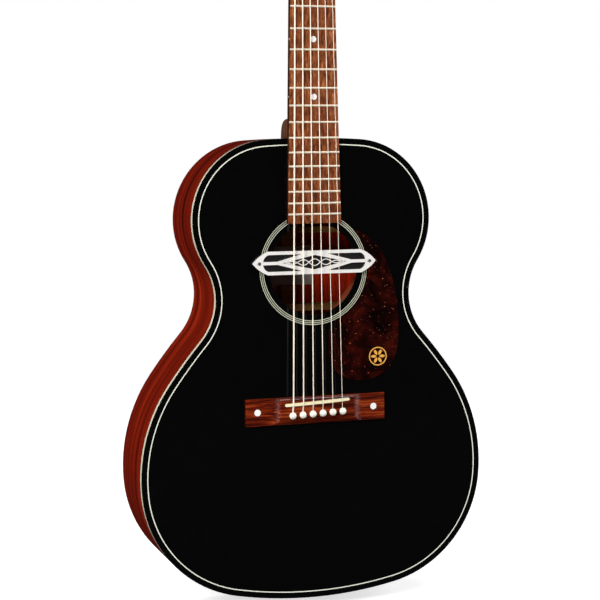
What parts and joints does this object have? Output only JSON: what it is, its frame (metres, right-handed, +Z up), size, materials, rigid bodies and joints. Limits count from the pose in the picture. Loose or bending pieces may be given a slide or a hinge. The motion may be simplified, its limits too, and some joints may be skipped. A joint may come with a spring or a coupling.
{
  "type": "acoustic guitar",
  "caption": "Steel-string acoustic guitar with a black flat top, dark figured sides, fourteen-fret neck, teardrop pickguard, soundhole pickup and geared tuners.",
  "frame": {"origin": "on the axis of the end-pin jack, where it meets the outer face of the tail", "axes": "+Z up the neck, the soundboard faces -Y, +X is the treble side"},
  "size_m": [0.3938, 0.1157, 1.0554],
  "materials": {
    "binding": "gloss",
    "black_lacquer": "gloss black lacquer on spruce",
    "black_plastic": "gloss",
    "bone": "polished bone",
    "brass_parts": "plain",
    "bronze_strings": "wound and plain strings",
    "button_plastic": "gloss",
    "chrome": "mirror",
    "fingerboard_wood": "oiled",
    "fret_wire": "polished nickel silver",
    "gold_print": "printed gold",
    "ivory_plastic": "gloss",
    "mahogany": "raw",
    "maple": "raw",
    "neck_mahogany": "satin",
    "nickel": "polished",
    "paper": "matte paper",
    "pearl": "pearl",
    "rosette": "gloss",
    "rosewood": "oiled",
    "sapele": "gloss",
    "spruce": "raw",
    "steel": "plain",
    "tortoiseshell": "gloss"
  },
  "bodies": {
    "root": {"back": "sapele", "back_braces": "spruce", "back_strip": "spruce", "binding": "binding", "bridge": "rosewood", "bridge_bolts": "steel", "bridge_dots": "pearl", "bridge_pins": "ivory_plastic", "bridge_plate": "maple", "endpin_jack": "nickel", "endpin_nut": "nickel", "finger_braces": "spruce", "fingerboard": "fingerboard_wood", "fret_markers": "pearl", "frets": "fret_wire", "headstock_screws": "nickel", "headstock_veneer": "black_lacquer", "heel_cap": "black_plastic", "label": "paper", "lining_back": "spruce", "lining_front": "spruce", "neck": "neck_mahogany", "neck_block": "mahogany", "nut": "bone", "pickguard": "tortoiseshell", "pickguard_emblem": "gold_print", "pickup_clamps": "steel", "pickup_cover": "chrome", "pickup_housing": "black_plastic", "pickup_screws": "chrome", "purfling": "binding", "rosette": "rosette", "saddle": "bone", "side_bass": "sapele", "side_treble": "sapele", "soundboard": "black_lacquer", "strings": "bronze_strings", "tail_block": "mahogany", "tone_bars": "spruce", "truss_rod": "steel", "truss_rod_cover": "black_plastic", "tuner_bushings": "nickel", "tuner_plates": "nickel", "upper_brace": "spruce", "x_brace_bass": "spruce", "x_brace_treble": "spruce"},
    "truss_nut": {"truss_rod_nut": "brass_parts"},
    "button_1": {"tuner_button_1": "button_plastic"},
    "post_1": {"tuner_post_1": "nickel"},
    "button_2": {"tuner_button_2": "button_plastic"},
    "post_2": {"tuner_post_2": "nickel"},
    "button_3": {"tuner_button_3": "button_plastic"},
    "post_3": {"tuner_post_3": "nickel"},
    "button_4": {"tuner_button_4": "button_plastic"},
    "post_4": {"tuner_post_4": "nickel"},
    "button_5": {"tuner_button_5": "button_plastic"},
    "post_5": {"tuner_post_5": "nickel"},
    "button_6": {"tuner_button_6": "button_plastic"},
    "post_6": {"tuner_post_6": "nickel"}
  },
  "joints": [
    {"name": "truss_nut_turn", "type": "hinge", "parent": "root", "child": "truss_nut", "pos_m": [0, -0.0435, 0.87308], "axis": [0, 0, 1], "range_deg": [-180, 180]},
    {"name": "button_1_turn", "type": "hinge", "parent": "root", "child": "button_1", "pos_m": [-0.022, -0.02231, 0.89732], "axis": [-1, 0, 0], "continuous": true},
    {"name": "post_1_turn", "type": "hinge", "parent": "root", "child": "post_1", "pos_m": [-0.022, -0.02459, 0.90696], "axis": [0, -0.9659, 0.2588], "continuous": true},
    {"name": "button_2_turn", "type": "hinge", "parent": "root", "child": "button_2", "pos_m": [-0.022, -0.01169, 0.93693], "axis": [-1, 0, 0], "continuous": true},
    {"name": "post_2_turn", "type": "hinge", "parent": "root", "child": "post_2", "pos_m": [-0.022, -0.01398, 0.94656], "axis": [0, -0.9659, 0.2588], "continuous": true},
    {"name": "button_3_turn", "type": "hinge", "parent": "root", "child": "button_3", "pos_m": [-0.022, -0.00108, 0.97653], "axis": [-1, 0, 0], "continuous": true},
    {"name": "post_3_turn", "type": "hinge", "parent": "root", "child": "post_3", "pos_m": [-0.022, -0.00337, 0.98617], "axis": [0, -0.9659, 0.2588], "continuous": true},
    {"name": "button_4_turn", "type": "hinge", "parent": "root", "child": "button_4", "pos_m": [0.022, -0.00108, 0.97653], "axis": [1, 0, 0], "continuous": true},
    {"name": "post_4_turn", "type": "hinge", "parent": "root", "child": "post_4", "pos_m": [0.022, -0.00337, 0.98617], "axis": [0, -0.9659, 0.2588], "continuous": true},
    {"name": "button_5_turn", "type": "hinge", "parent": "root", "child": "button_5", "pos_m": [0.022, -0.01169, 0.93693], "axis": [1, 0, 0], "continuous": true},
    {"name": "post_5_turn", "type": "hinge", "parent": "root", "child": "post_5", "pos_m": [0.022, -0.01398, 0.94656], "axis": [0, -0.9659, 0.2588], "continuous": true},
    {"name": "button_6_turn", "type": "hinge", "parent": "root", "child": "button_6", "pos_m": [0.022, -0.02231, 0.89732], "axis": [1, 0, 0], "continuous": true},
    {"name": "post_6_turn", "type": "hinge", "parent": "root", "child": "post_6", "pos_m": [0.022, -0.02459, 0.90696], "axis": [0, -0.9659, 0.2588], "continuous": true}
  ],
  "couplings": [
    {"joint": "post_1_turn", "follows": "button_1_turn", "ratio": -0.071429},
    {"joint": "post_2_turn", "follows": "button_2_turn", "ratio": -0.071429},
    {"joint": "post_3_turn", "follows": "button_3_turn", "ratio": -0.071429},
    {"joint": "post_4_turn", "follows": "button_4_turn", "ratio": -0.071429},
    {"joint": "post_5_turn", "follows": "button_5_turn", "ratio": -0.071429},
    {"joint": "post_6_turn", "follows": "button_6_turn", "ratio": -0.071429}
  ]
}
